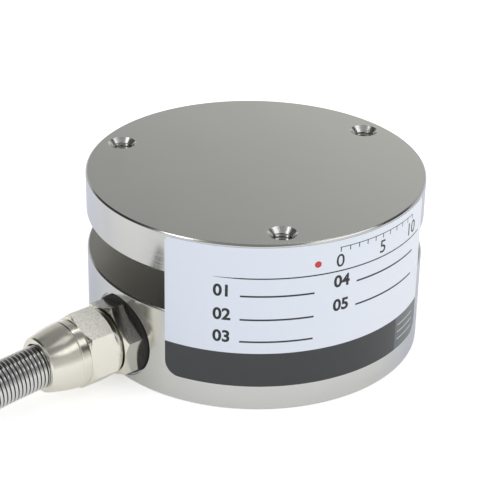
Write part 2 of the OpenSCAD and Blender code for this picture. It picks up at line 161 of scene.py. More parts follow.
# The lead: its route to the coil, the coil, and the routes of its ends as radius, azimuth and height about
# the coil's centre
HOSE_ROUTE = [
    (0, -55, 10.6), (0, -59, 10.6), (0, -63, 10.5), (0, -67, 10.1), (0, -71, 9.8),
    (0, -75, 9.4), (0, -79, 8.9), (0, -83, 8.4), (0, -87, 7.8), (0, -91, 7.3),
    (0, -95, 6.8), (0, -99, 6.5), (0, -103, 6.2), (0, -107, 6.0), (0, -111, 6.0),
]
WIRE_PITCH = 0.98
SHOWN_TURNS = 30
HOSE_SIDES, WIRE_STEPS = 64, 8
COIL_AT = (-60.0, -114.0)
COIL_R = 60.0
COIL_INNER_R = 41.0
LANE = 10.0
COIL_Z = 6.0
CABLE_R = 2.5
LEAD_R = 0.55
HOSE_END = (44.5, 104.4, 26.8)
HOSE_END_INWARD = 5
FERRULE_L = 12.0
TAIL_ROUTE = [
    (44.5, 93.9, 26.8), (45.1, 89, 26.8), (45.6, 85, 26.4), (45.8, 79, 25), (46, 72, 23.8),
    (46, 64, 23.6), (46, 54, 23.6), (46, 44, 23.6), (46, 34, 23.6), (46, 26, 23.6),
]
LEAD_ROUTE = [
    (46, 25.5, 23.5), (46, 21, 23.1), (46, 16, 22.5), (46, 10, 22), (46, 4, 21.8),
    (46, -4, 21.7), (46, -12, 21.6), (46, -20, 21.6),
]


# Camera


def add_camera():
    """The photo's view: from azimuth -40, 28 degrees up, with a slight roll."""
    azimuth, elevation, roll = radians(50), radians(27.85), radians(1.23)
    distance, aside, above = 417.8 * MM, -1.01 * MM, 17.42 * MM
    focal_pixels, picture, sensor = 1693.1, 500, 36.0
    turn = Matrix.Rotation(azimuth, 3, "Z")
    right = turn @ Vector((1, 0, 0))
    back = turn @ Vector((0, -cos(elevation), sin(elevation)))
    up = turn @ Vector((0, sin(elevation), cos(elevation)))
    data = bpy.data.cameras.new("camera")
    data.sensor_width = sensor
    data.lens = focal_pixels / picture * sensor
    data.clip_start, data.clip_end = 0.01, 20
    camera = bpy.data.objects.new("camera", data)
    scene.collection.objects.link(camera)
    x_axis = cos(roll) * right + sin(roll) * up
    y_axis = -sin(roll) * right + cos(roll) * up
    place = Matrix((x_axis, y_axis, back)).transposed().to_4x4()
    place.translation = back * distance + turn @ Vector((aside, 0, 0)) + above * up
    camera.matrix_world = place
    scene.camera = camera


add_camera()


# Modelling helpers


def arc(centre, radius, start, end, steps=8):
    """Points on an arc, angles in degrees."""
    angles = [radians(start + (end - start) * i / steps) for i in range(steps + 1)]
    return [(centre[0] + radius * cos(a), centre[1] + radius * sin(a)) for a in angles]


def eased(outline, radius, closed=False, steps=3):
    """The outline with each sharp corner off the axis broken by a small arc."""
    points = [Vector(p) for p in outline]
    result, count = [], len(points)
    for i, corner in enumerate(points):
        at_end = not closed and i in (0, count - 1)
        before, after = points[i - 1] - corner, points[(i + 1) % count] - corner
        if at_end or before.angle(after) > radians(160):
            result.append(tuple(corner))
            continue
        reach = min(radius, 0.4 * before.length, 0.4 * after.length)
        first = corner + before.normalized() * reach
        last = corner + after.normalized() * reach
        for k in range(steps + 1):
            t = k / steps
            result.append(tuple((1 - t) ** 2 * first + 2 * t * (1 - t) * corner + t * t * last))
    return result


def only(piece):
    """Selects one piece and makes it the active one."""
    bpy.ops.object.select_all(action="DESELECT")
    piece.select_set(True)
    bpy.context.view_layer.objects.active = piece


def select_mesh():
    """Selects all of the mesh in edit mode."""
    bpy.ops.mesh.select_all(action="SELECT")


def added(primitive, **settings):
    """What an operator adds, as the only piece selected."""
    bpy.ops.object.select_all(action="DESELECT")
    primitive(**settings)
    return bpy.context.active_object


def changed(piece, kind, **settings):
    """A piece after a modifier with these settings."""
    change = piece.modifiers.new("change", kind)
    for key, value in settings.items():
        setattr(change, key, value)
    only(piece)
    bpy.ops.object.modifier_apply(modifier=change.name)
    return piece


def joined(pieces):
    """All the pieces as one, under the first one's name."""
    only(pieces[0])
    for piece in pieces:
        piece.select_set(True)
    if len(pieces) > 1:
        bpy.ops.object.join()
    return pieces[0]


def settled(piece, matrix):
    """Puts a piece in its place, with the place in its mesh."""
    only(piece)
    piece.matrix_world = matrix @ piece.matrix_world
    bpy.ops.object.transform_apply(location=True, rotation=True, scale=True)
    return piece


def moved(x=0, y=0, z=0):
    """The matrix of a move in millimetres."""
    return Matrix.Translation(Vector((x, y, z)) * MM)


def turned_by(degrees, axis="Z"):
    """The matrix of a turn about an axis through the origin."""
    return Matrix.Rotation(radians(degrees), 4, axis)


def toward(azimuth, elevation=0):
    """The direction that an azimuth and an elevation in degrees point to."""
    a, e = radians(azimuth), radians(elevation)
    return Vector((cos(a) * cos(e), sin(a) * cos(e), sin(e)))


# Stands a piece that was made along Z on the gland's axis, facing outwards
TO_GLAND = moved(z=GLAND_Z) @ turned_by(90, "X")


def flat_start(name):
    """A square of one millimetre, all selected in edit mode, for a piece to grow from."""
    piece = added(bpy.ops.mesh.primitive_plane_add, size=MM)
    piece.name = piece.data.name = name
    bpy.ops.object.mode_set(mode="EDIT")
    select_mesh()
    return piece


def thickened(thickness):
    """Pulls the flat mesh in edit mode out to a thickness."""
    select_mesh()
    bpy.ops.mesh.extrude_region_move(TRANSFORM_OT_translate={"value": (0, 0, thickness * MM)})
    select_mesh()
    bpy.ops.mesh.normals_make_consistent(inside=False)
    bpy.ops.object.mode_set(mode="OBJECT")


def block(size, *place):
    """A cuboid of the given size at a place."""
    cube = added(bpy.ops.mesh.primitive_cube_add, size=MM)
    return settled(cube, moved(*place) @ Matrix.Diagonal((*size, 1)))


def hexagonal_bar(corner_r, length, matrix):
    """A six-sided bar along Z, put in its place."""
    bar = added(bpy.ops.mesh.primitive_cylinder_add, vertices=6, radius=corner_r * MM, depth=length * MM)
    return settled(bar, matrix)


def outline_piece(name, outline):
    """A chain of edges through (radius, height) points, drawn from a square shrunk to one point."""
    piece = flat_start(name)
    places = [Vector((r, 0, z)) * MM for r, z in outline]
    bpy.ops.mesh.merge(type="CENTER")
    bpy.ops.transform.translate(value=places[0])
    for before, after in zip(places, places[1:]):
        bpy.ops.mesh.extrude_region_move(TRANSFORM_OT_translate={"value": after - before})
    return piece


def turned(name, outline, closed=False, steps=96):
    """A piece turned about Z from an outline that is closed, or starts and ends on the axis."""
    piece = outline_piece(name, outline + outline[:1] if closed else outline)
    select_mesh()
    bpy.ops.mesh.remove_doubles(threshold=1e-7)
    select_mesh()
    bpy.ops.mesh.spin(steps=steps, angle=2 * pi, use_auto_merge=True, center=(0, 0, 0), axis=(0, 0, 1))
    select_mesh()
    bpy.ops.mesh.remove_doubles(threshold=1e-7)
    bpy.ops.mesh.normals_make_consistent(inside=False)
    bpy.ops.object.mode_set(mode="OBJECT")
    return piece


def thread_tool(name, depth, low):
    """A right-hand thread to cut with: one V screwed up the Z axis, with both ends closed."""
    outline = [(TAP_R, 0), (THREAD_R, 0.44 * THREAD_PITCH), (THREAD_R, 0.56 * THREAD_PITCH),
               (TAP_R, THREAD_PITCH)]
    piece = outline_piece(name, outline)
    bpy.ops.object.mode_set(mode="OBJECT")
    changed(piece, "SCREW", axis="Z", screw_offset=THREAD_PITCH * MM, steps=32, render_steps=32,
            iterations=ceil(depth / THREAD_PITCH), use_merge_vertices=True, merge_threshold=1e-6)
    bpy.ops.object.mode_set(mode="EDIT")
    select_mesh()
    bpy.ops.mesh.remove_doubles(threshold=1e-6)
    bpy.ops.mesh.fill_holes(sides=0)
    bpy.ops.mesh.select_all(action="DESELECT")
    bpy.ops.mesh.select_mode(type="FACE")
    bpy.ops.mesh.select_face_by_sides(number=4, type="GREATER")
    bpy.ops.mesh.poke()
    select_mesh()
    bpy.ops.mesh.normals_make_consistent(inside=False)
    bpy.ops.mesh.select_mode(type="VERT")
    bpy.ops.object.mode_set(mode="OBJECT")
    return settled(piece, moved(z=low))


def copied(piece, matrix):
    """A copy with its own mesh, moved by a matrix."""
    twin = piece.copy()
    twin.data = piece.data.copy()
    scene.collection.objects.link(twin)
    twin.data.transform(matrix)
    return twin


def repeated(piece, matrices):
    """The piece copied to each place and joined into one."""
    twins = [copied(piece, m) for m in matrices]
    bpy.data.objects.remove(piece)
    return joined(twins)


def combined(piece, tool, operation="DIFFERENCE"):
    """Cuts a piece with a tool, joins them or keeps what they share; the tool is used up."""
    changed(piece, "BOOLEAN", operation=operation, object=tool, solver="EXACT")
    bpy.data.objects.remove(tool)
    return piece


def edges_broken(piece, width, segments=2, angle=25):
    """Breaks the sharp edges of a piece with small rounds."""
    return changed(piece, "BEVEL", width=width * MM, segments=segments, limit_method="ANGLE",
                   angle_limit=radians(angle))


def assigned(piece, slot, *nodes):
    """Gives a piece its finish and lets it take the place of its CAD nodes."""
    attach(piece, "root")
    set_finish(piece, slot)
    if nodes:
        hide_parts(*nodes)
    return piece


def finished(piece, slot, *nodes, angle=30):
    """Smooths a piece between its sharp edges and assigns it."""
    only(piece)
    piece.data.validate()
    bpy.ops.object.shade_smooth_by_angle(angle=radians(angle))
    changed(piece, "WEIGHTED_NORMAL", keep_sharp=True)
    return assigned(piece, slot, *nodes)


# Cords


def on_coil(radius, azimuth, z):
    """A point about the coil's centre, from radius, azimuth in degrees and height."""
    a = radians(azimuth)
    return (COIL_AT[0] + radius * cos(a), COIL_AT[1] + radius * sin(a), z)


def coil_points():
    """The coil's centreline: in, up, out, up and in again, then a stretch that eases onto its end."""
    # Turns of each stage, with the way that it goes outwards and up
    inward, last_inward = (COIL_R - COIL_INNER_R) / LANE, 1.3267
    stages = [(inward, -1, 0), (1 / 3, 0, 1), (inward, 1, 0), (1 / 4, 0, 1), (last_inward, -1, 0)]
    radius, z, turns_made, points = COIL_R, COIL_Z, 0.0, []
    steps_per_turn, last_steps, whole_turns = 72, 12, 6
    for turns, outwards, upwards in stages:
        gain, rise = LANE * outwards * turns, LANE * upwards
        steps = round(turns * steps_per_turn)
        for i in range(steps):
            f = i / steps
            ease = 0.5 - 0.5 * cos(pi * f)
            points.append((radius + gain * f, -360 * (turns_made + turns * f), z + rise * ease))
        radius, z, turns_made = radius + gain, z + rise, turns_made + turns
    end_r, end_azimuth, end_z = HOSE_END
    end_turn = whole_turns - end_azimuth / 360
    start_r, start_azimuth = points[-1][:2]
    for i in range(1, last_steps + 1):
        f = i / last_steps
        ease = f * f * (3 - 2 * f)
        azimuth = start_azimuth + (-360 * end_turn - start_azimuth) * f
        points.append((start_r + (end_r - start_r) * ease, azimuth, z + (end_z - z) * ease))
    return [on_coil(*p) for p in points]


def hose_stub():
    """The straight end that the ferrule is crimped on."""
    heading = toward(HOSE_END[1] - 90 - HOSE_END_INWARD)
    return [Vector(on_coil(*HOSE_END)) + heading * s for s in (2, 4, 6, 7.9)]


def lengths_along(path):
    """The arc length at each point of a path."""
    return np.concatenate([[0], np.cumsum(np.linalg.norm(np.diff(path, axis=0), axis=1))])


def path_length(path):
    """The whole length of a path."""
    return np.linalg.norm(np.diff(path, axis=0), axis=1).sum()


def resampled(points, spacing, rounds=6):
    """Even points along a polyline, rounded off, in millimetres."""
    p = np.array([tuple(q) for q in points], float)
    along = lengths_along(p)
    count = int(along[-1] / spacing) + 1
    s = np.linspace(0, along[-1], count)
    path = np.stack([np.interp(s, along, p[:, k]) for k in range(3)], -1)
    for _ in range(rounds):
        path[1:-1] = (path[:-2] + 2 * path[1:-1] + path[2:]) / 4
    return path


def frames_along(path):
    """Arc length, and the directions aside and above, at each point of a path that is never upright."""
    along = lengths_along(path)
    heading = np.gradient(path, along, axis=0)
    heading /= np.linalg.norm(heading, axis=1)[:, None]
    side = np.cross(heading, [0, 0, 1.0])
    side /= np.linalg.norm(side, axis=1)[:, None]
    return along, side, np.cross(side, heading)


def shaded_mesh(name, points, faces):
    """A smooth-shaded piece from points in millimetres and faces."""
    mesh = bpy.data.meshes.new(name)
    mesh.from_pydata((np.array(points) * MM).tolist(), [], faces)
    mesh.validate()
    mesh.shade_smooth()
    piece = bpy.data.objects.new(name, mesh)
    scene.collection.objects.link(piece)
    return piece


def wound_tube(name, path, start, end, sides, profile):
    """A close-wound spring's outside: one ridge of the given radii per pitch, running as a helix."""
    along, side, upper = frames_along(path)
    per_turn = len(profile)
    rows = int((end - start) / WIRE_PITCH * per_turn) - per_turn
    row = np.arange(rows + per_turn + 1)[:, None]
    k = np.arange(sides)[None, :]
    s = start + (row / per_turn + k / sides) * WIRE_PITCH
    angle = 2 * pi * k / sides
    radius = np.array(profile)[row % per_turn]
    centre, aside, above = [np.stack([np.interp(s, along, a[:, i]) for i in range(3)], -1)
                            for a in (path, side, upper)]
    points = centre + radius[..., None] * (
        np.cos(angle)[..., None] * aside + np.sin(angle)[..., None] * above)

    def at(r, c):
        return r * sides + c

    faces = []
    for r in range(rows):
        for c in range(sides - 1):
            faces.append((at(r, c), at(r + 1, c), at(r + 1, c + 1), at(r, c + 1)))
        seam = at(r + 1 + per_turn, 0), at(r + per_turn, 0)
        faces.append((at(r, sides - 1), at(r + 1, sides - 1), *seam))
    points = points.reshape(-1, 3)
    for end_row, order in ((0, 1), (rows, -1)):
        loop = [at(end_row, c) for c in range(sides)] + [at(end_row + r, 0) for r in range(per_turn, 0, -1)]
        middle = len(points)
        points = np.vstack([points, points[loop].mean(0)])
        for a, b in zip(loop, loop[1:] + loop[:1]):
            faces.append((middle, a, b)[::order])
    used = sorted({i for f in faces for i in f})
    new = {old: i for i, old in enumerate(used)}
    faces = [tuple(new[i] for i in f) for f in faces]
    return shaded_mesh(name, points[used], faces)


def round_tube(name, path, radius, sides):
    """A plain round tube with closed ends along a path in millimetres."""
    along, side, upper = frames_along(path)
    angle = 2 * pi * np.arange(sides) / sides
    ring = np.cos(angle)[None, :, None] * side[:, None] + np.sin(angle)[None, :, None] * upper[:, None]
    points = (path[:, None] + radius * ring).reshape(-1, 3)
    n = len(path)
    faces = []
    for i in range(n - 1):
        for k in range(sides):
            a, b = i * sides + k, i * sides + (k + 1) % sides
            faces.append((a, a + sides, b + sides, b))
    faces += [tuple(range(sides)), tuple(range(n * sides - 1, (n - 1) * sides - 1, -1))]
    return shaded_mesh(name, points, faces)


def make_hose():
    """The spring armour: a fine stretch that the photo shows, then the rest in its coil."""
    route = [Vector(p) for p in HOSE_ROUTE] + [Vector(p) for p in coil_points()] + hose_stub()
    path = resampled(route, 3.0)
    length = path_length(path)
    split = SHOWN_TURNS * WIRE_PITCH
    half, gap_depth = WIRE_PITCH / 2, 0.5
    ridge = [HOSE_R - half + sqrt(max(0.0, half**2 - (half * (2 * i / WIRE_STEPS - 1)) ** 2))
             for i in range(WIRE_STEPS)]
    ridge[0] -= gap_depth
    near = wound_tube("hose_start", path, 0.2, split, HOSE_SIDES, ridge)
    far = wound_tube("armoured_hose", path, split - WIRE_PITCH, length, 14,
                     [HOSE_R - 0.42, HOSE_R - 0.04, HOSE_R - 0.04])
    for piece, node in ((near, "armour_hose"), (far, "hose_coil")):
        only(piece)
        bpy.ops.object.shade_smooth_by_angle(angle=radians(60))
        assigned(piece, "hose_steel", node)
    return near, far, path, length


hose_start, hose, hose_path, hose_length = make_hose()


def make_tail():
    """The cable's jacket, which runs on out of the ferrule."""
    path = resampled([on_coil(*p) for p in TAIL_ROUTE], 1.5)
    return assigned(round_tube("cable_jacket_end", path, CABLE_R, 24), "cable_jacket", "cable_tail"), path


tail, tail_path = make_tail()


def lead_path(spread, height):
    """One lead's route, which starts at its height in the jacket and spreads from the others."""
    steps = len(LEAD_ROUTE) - 1
    points = []
    for i, (radius, azimuth, z) in enumerate(LEAD_ROUTE):
        f = i / steps
        points.append(on_coil(radius + spread * (0.6 + 1.6 * f), azimuth, z + height * (1 - f) ** 2))
    return resampled(points, 0.8)


# Each lead's side and height in the jacket, and its finish
LEADS = {
    "lead_red": (-2, 0, "red_insulation"),
    "lead_black": (-1, 1, "black_insulation"),
    "lead_green": (1, 1, "green_insulation"),
    "lead_white": (2, 0, "white_insulation"),
    "lead_shield": (0, -0.5, "tinned_copper"),
}


def make_leads():
    """Five leads fanned out past the jacket; the insulated ones end in bare strands."""
    leads, paths, tips = {}, {}, {}
    for name, (spread, height, slot) in LEADS.items():
        path = lead_path(spread, height)
        bare = name == "lead_shield"
        keep = len(path) if bare else len(path) - 4
        lead = round_tube(name + "_end", path[:keep], LEAD_R - (0.1 if bare else 0), 12)
        leads[name], paths[name] = assigned(lead, slot, name), path[:keep]
        if not bare:
            tip = round_tube(name + "_bare_tip", path[keep - 1:], LEAD_R * 0.62, 10)
            tips[name] = assigned(tip, "tinned_copper")
    return leads, paths, tips


leads, lead_paths, tips = make_leads()


# Body


COVER_SCREW_PLACES = [turned_by(60 * i) @ moved(x=COVER_SCREW_CIRCLE_R) for i in range(6)]


def make_body():
    """The body is turned from one bar, then drilled, tapped and milled for the gland."""
    outline = (
        [(0, CAVITY_TOP)]
        + arc((CAVITY_R - CAVITY_CORNER_R, CAVITY_TOP - CAVITY_CORNER_R), CAVITY_CORNER_R, 90, 0, 6)
        + [(CAVITY_R, LEDGE_Z), (RECESS_R, LEDGE_Z), (RECESS_R, 0)]
        + eased([(RECESS_R, 0), (BODY_R - SMALL_CHAMFER, 0), (BODY_R, SMALL_CHAMFER),
                 (BODY_R, HOUSING_H - HOUSING_CHAMFER), (BODY_R - HOUSING_CHAMFER, HOUSING_H),
                 (NECK_R + NECK_FILLET + 2, HOUSING_H)], 0.1)[1:]
        + arc((NECK_R + NECK_FILLET, HOUSING_H + NECK_FILLET), NECK_FILLET, 270, 180)
        + arc((NECK_R + NECK_FILLET, GROOVE_TOP - NECK_FILLET), NECK_FILLET, 180, 90)
        + eased([(NECK_R + NECK_FILLET + 2, GROOVE_TOP), (BODY_R - SMALL_CHAMFER, GROOVE_TOP),
                 (BODY_R, GROOVE_TOP + SMALL_CHAMFER), (BODY_R, BODY_H - FLANGE_CHAMFER),
                 (BODY_R - FLANGE_CHAMFER, BODY_H), (20, BODY_H)], 0.09)
        + [(0, BODY_H)]
    )
    body = turned("turned_body", outline, steps=192)

    sink = [(0, BODY_H - COUNTERSINK_R), (COUNTERSINK_R + 1, BODY_H + 1), (0, BODY_H + 1)]
    sinker = turned("flange_countersink", sink, steps=48)
    tap = thread_tool("flange_tap", FLANGE_T + 2, GROOVE_TOP - 1)
    circle = [turned_by(a) @ moved(x=TOP_HOLE_CIRCLE_R) for a in HOLE_AZIMUTHS]
    combined(body, repeated(tap, circle))
    combined(body, repeated(sinker, circle))

    drill_r, tip = TAP_R + 0.02, TAP_R * tan(radians(31))
    bore = [(0, -1), (drill_r, -1), (drill_r, BASE_HOLE_L), (0, BASE_HOLE_L + tip)]
    drill = turned("base_drill", bore, steps=48)
    base_tap = thread_tool("base_tap", BASE_HOLE_L - 1, -1)
    base_sinker = turned("base_countersink", [(0, -1), (TAP_R + 1.4, -1), (0, TAP_R + 0.4)], steps=48)
    circle = [turned_by(a) @ moved(x=BASE_HOLE_CIRCLE_R) for a in HOLE_AZIMUTHS]
    for tool in (drill, base_tap, base_sinker):
        combined(body, repeated(tool, circle))

    pilot = [(0, LEDGE_Z - 1), (COVER_SCREW_R, LEDGE_Z - 1), (COVER_SCREW_R, LEDGE_Z + 6), (0, LEDGE_Z + 6)]
    combined(body, repeated(turned("cover_screw_drill", pilot, steps=24), COVER_SCREW_PLACES))

    port = [(0, PORT_END_S), (PORT_R, PORT_END_S), (PORT_R, SEAT_S), (SPOTFACE_R, SEAT_S),
            (SPOTFACE_R, BODY_R + 2), (0, BODY_R + 2)]
    combined(body, settled(turned("gland_port", port), TO_GLAND))
    return finished(body, "body_steel", "load_cell_body")


body = make_body()


def make_cover():
    """Disc in the base's recess, with six countersunk socket screws."""
    rim = [(1, COVER_LOW), (COVER_R, COVER_LOW), (COVER_R, COVER_TOP), (1, COVER_TOP)]
    cover = turned("base_cover", [(0, COVER_LOW)] + eased(rim, EDGE_BREAK) + [(0, COVER_TOP)], steps=128)
    sink_r = SCREW_HEAD_R + 0.05
    sink = [(0, -1), (sink_r, -1), (sink_r, COVER_LOW), (COVER_SCREW_R, SCREW_NECK_Z),
            (COVER_SCREW_R, 3), (0, 3)]
    sinker = turned("cover_countersink", sink, steps=32)
    combined(cover, repeated(sinker, COVER_SCREW_PLACES))
    finished(cover, "cover_steel", "bottom_cover")

    shank_r = COVER_SCREW_R - 0.05
    head = [(0.9, COVER_LOW), (SCREW_HEAD_R, COVER_LOW), (shank_r, SCREW_NECK_Z),
            (shank_r, SCREW_END_Z - 0.2)]
    end = [(shank_r - 0.2, SCREW_END_Z), (0, SCREW_END_Z)]
    screw = turned("cover_screw", [(0, COVER_LOW)] + eased(head, 0.06) + end, steps=32)
    combined(screw, hexagonal_bar(SOCKET_R, SOCKET_L, moved(z=COVER_LOW)))
    finished(repeated(screw, COVER_SCREW_PLACES), "screw_steel", "cover_screws")


make_cover()


# Gland


def thread_outline(radius, depth, start, end, pitch):
    """The zigzag of an outside thread along an outline."""
    points, s = [], start
    while s < end - pitch:
        points += [(radius, s), (radius, s + 0.15 * pitch), (radius - depth, s + 0.5 * pitch),
                   (radius - depth, s + 0.65 * pitch)]
        s += pitch
    return points + [(radius, s)]


def turned_hexagon(name, start, length, turn, chamfer_start):
    """A hexagon with its corners turned off at 30 degrees, bored out for what runs through it."""
    corner_r = HEX_R / cos(radians(30))
    slope = tan(radians(30))
    hexagon = hexagonal_bar(corner_r, length, moved(z=start + length / 2) @ turned_by(turn - 30))
    hexagon.name = hexagon.data.name = name
    wide, past = corner_r + 0.5, 0.5
    end, low = start + length, [(wide, start - past)]
    if chamfer_start:
        low = [(HEX_R - past / slope, start - past), (wide, start + (wide - HEX_R) * slope)]
    envelope = [(0, start - past)] + low + [(wide, end - (wide - HEX_R) * slope),
                                            (HEX_R - past / slope, end + past), (0, end + past)]
    combined(hexagon, turned(name + "_envelope", envelope, steps=128), "INTERSECT")
    bore_r = HEX_R - 1.6
    bore = [(0, start - 1), (bore_r, start - 1), (bore_r, end + 1), (0, end + 1)]
    return combined(hexagon, turned(name + "_bore", bore))


def make_gland():
    """Seal, gland body and cap nut, one after the other along the gland's axis."""
    ring = [(PORT_R, SEAT_S), (SEAL_R, SEAT_S), (SEAL_R, HEX_S), (PORT_R, HEX_S)]
    seal = turned("seal_ring", eased(ring, 0.25, closed=True), closed=True, steps=128)
    finished(settled(seal, TO_GLAND), "seal_rubber", "gland_seal")

    start, grommet_s, grommet_r = SEAT_S - 10, SHANK_END_S - 5.8, 4.95
    body_hex_end = HEX_S + BODY_HEX_L
    outer = ([(STEM_BORE_R, start), (5.4, start)]
             + thread_outline(STEM_R, 0.5, start + 0.6, HEX_S - 1.2, 1.5)
             + [(STEM_R, HEX_S + 0.3), (SHANK_R, HEX_S + 0.3)]
             + thread_outline(SHANK_R, 0.45, body_hex_end + 0.4, SHANK_END_S - 0.6, 1.2)
             + [(SHANK_R - 0.4, SHANK_END_S), (grommet_r, SHANK_END_S), (grommet_r, grommet_s),
                (STEM_BORE_R, grommet_s)])
    gland = turned("gland_stem", outer, closed=True)
    hexagon = turned_hexagon("gland_hexagon", HEX_S, BODY_HEX_L, BODY_HEX_TURN, False)
    fill = [(5, HEX_S + 0.3), (6.5, HEX_S + 0.3), (6.5, body_hex_end), (5, body_hex_end)]
    combined(hexagon, turned("gland_hexagon_fill", fill, closed=True), "UNION")
    combined(gland, edges_broken(hexagon, EDGE_BREAK), "UNION")
    finished(settled(gland, TO_GLAND), "nickel_plate", "gland_body", angle=18)

    shoulder, thread_r, socket_r = STEP_S - 0.3, SHANK_R + 0.05, HOSE_R + 0.05
    nose = [(NUT_ROUND_R - (NUT_ROUND_R - NOSE_R) * t**1.4, NOSE_S + (NOSE_END_S - 0.4 - NOSE_S) * t)
            for t in (i / 10 for i in range(1, 11))]
    collar = eased([(SHANK_R + 0.2, NUT_S), (NUT_ROUND_R, NUT_S), (NUT_ROUND_R, NOSE_S - 1)], 0.2)
    groove = [(NUT_ROUND_R, NOSE_S - 0.35), (NUT_ROUND_R - 0.18, NOSE_S - 0.15), (NUT_ROUND_R, NOSE_S)]
    mouth = eased([nose[-1], (NOSE_R - 0.4, NOSE_END_S), (socket_r, NOSE_END_S), (socket_r, SOCKET_S)], 0.15)
    outer = ([(thread_r, NUT_S)] + collar[1:] + groove + nose + mouth[1:]
             + [(3, SOCKET_S), (3, shoulder), (thread_r, shoulder)])
    nut = turned("cap_nut", outer, closed=True, steps=128)
    hexagon = turned_hexagon("nut_hexagon", NUT_HEX_S, NUT_HEX_L, NUT_HEX_TURN, True)
    combined(nut, edges_broken(hexagon, EDGE_BREAK), "UNION")
    finished(settled(nut, TO_GLAND), "nickel_plate", "gland_nut", angle=18)
    return gland, nut


gland, nut = make_gland()


# Label


def wrapped(piece, width):
    """Bends a flat piece, standing in the XZ plane and facing -Y, round the body at the label's place."""
    changed(piece, "SIMPLE_DEFORM", deform_method="BEND", deform_axis="Z", angle=width / LABEL_R)
    return settled(piece, turned_by(LABEL_AZIMUTH - 270) @ moved(y=-LABEL_R))


def sliced():
    """Cuts the mesh in edit mode into upright strips, so that it can bend."""
    for i in range(1, LABEL_STRIPS):
        select_mesh()
        bpy.ops.mesh.bisect(plane_co=((i / LABEL_STRIPS - 0.5) * LABEL_W * MM, 0, 0), plane_no=(1, 0, 0))


def make_label():
    """The printed film: rounded corners, wrapped round the body across the groove."""
    height = LABEL_Z1 - LABEL_Z0
    label = flat_start("label_film")
    bpy.ops.transform.resize(value=(LABEL_W, height, 1))
    for upper, radius in ((True, LABEL_TOP_R), (False, LABEL_BOTTOM_R)):
        bpy.ops.mesh.select_all(action="DESELECT")
        bpy.ops.object.mode_set(mode="OBJECT")
        for vertex in label.data.vertices:
            on_edge = abs(abs(vertex.co.y) - height / 2 * MM) < 1e-6
            vertex.select = on_edge and (vertex.co.y > 0) == upper
        bpy.ops.object.mode_set(mode="EDIT")
        bpy.ops.mesh.bevel(offset=radius * MM, segments=8, affect="VERTICES")
    sliced()
    thickened(LABEL_T)
    settled(label, turned_by(90, "X"))
    wrapped(label, LABEL_W)
    settled(label, moved(z=(LABEL_Z0 + LABEL_Z1) / 2))
    return finished(joined([label, make_numbers()]), "label_film", "rating_label")


def make_numbers():
    """Plain printed numerals: one before each ruled field, and three under the scale."""
    pieces = []
    for digits, across, up, size, weight in NUMBERS:
        text = added(bpy.ops.object.text_add)
        text.data.body, text.data.size, text.data.align_x = digits, size * MM, "CENTER"
        text.data.extrude, text.data.offset = PRINT_HALF_T * MM, weight * MM
        bpy.ops.object.convert(target="MESH")
        place = moved(across - LABEL_W / 2, up, LABEL_T + PRINT_HALF_T)
        pieces.append(settled(text, turned_by(90, "X") @ place))
    numbers = joined(pieces)
    bpy.ops.object.mode_set(mode="EDIT")
    select_mesh()
    bpy.ops.mesh.remove_doubles(threshold=1e-7)
    sliced()
    bpy.ops.object.mode_set(mode="OBJECT")
    return wrapped(numbers, numbers.dimensions.x / MM)


label = make_label()


# Coil's ties and the hose's ferrule


def make_ties():
    """Flat straps round the coil, each with its lock and its cut tail."""
    inner, outer, top, strap_t, strap_w = 33.9, 66.1, 32.1, 1.0, 4.0
    strap = flat_start("coil_strap")
    bpy.ops.transform.resize(value=(outer - inner, top, 1))
    bpy.ops.mesh.bevel(offset=4.5 * MM, segments=6, affect="VERTICES")
    select_mesh()
    bpy.ops.mesh.inset(thickness=strap_t * MM, depth=0)
    bpy.ops.mesh.delete(type="FACE")
    thickened(strap_w)
    edges_broken(strap, 0.15)
    settled(strap, moved((inner + outer) / 2, strap_w / 2, top / 2) @ turned_by(90, "X"))

    lock_x = 58
    lock = edges_broken(block((6, 5, 3), lock_x, 0, top + 1.5), 0.5, 3)
    combined(lock, block((7, 3.4, 1.1), lock_x, 0, top + 1.6))
    tail_end = edges_broken(block((7.4, 3.2, 0.9), lock_x - 0.8, 0, top + 1.6), 0.15)
    combined(strap, lock, "UNION")
    combined(strap, tail_end, "UNION")
    ties = []
    for number, azimuth in enumerate((60, 180, 300), 1):
        tie = copied(strap, moved(*COIL_AT) @ turned_by(azimuth))
        tie.name = f"coil_strap_{number}"
        ties.append(finished(tie, "tie_nylon", f"coil_tie_{number}"))
    bpy.data.objects.remove(strap)
    return ties


ties = make_ties()


def make_ferrule():
    """Turned sleeve with two crimped grooves on the hose's end."""
    r, bore, mouth = 5.8, HOSE_R + 0.05, CABLE_R + 0.3
    crimped = r - 0.35
    outer = eased([(bore, 0.7), (r, 0.7), (r, 2.2), (crimped, 2.6), (crimped, 3.6), (r, 4.0), (r, 5.2),
                   (crimped, 5.6), (crimped, 6.6), (r, 7.0), (r, FERRULE_L - 0.6), (r - 0.6, FERRULE_L),
                   (mouth, FERRULE_L), (mouth, 8.0), (bore, 8.0)], 0.15, closed=True)
    ferrule = turned("crimp_ferrule", outer, closed=True)
    heading = HOSE_END[1] - 180 - HOSE_END_INWARD
    place = moved(*on_coil(*HOSE_END)) @ turned_by(heading) @ turned_by(-90, "X")
    return finished(settled(ferrule, place), "nickel_plate", "hose_ferrule")


ferrule = make_ferrule()


# The coil lies outside the photo's view, so the polished body mirrors a clear floor in its place
for piece in (hose, tail, ferrule, *ties, *leads.values(), *tips.values()):
    piece.visible_glossy = piece.visible_diffuse = False


# Finishes


def even(value):
    """Three alike: a grey, or a grain that runs all ways."""
    return (value,) * 3


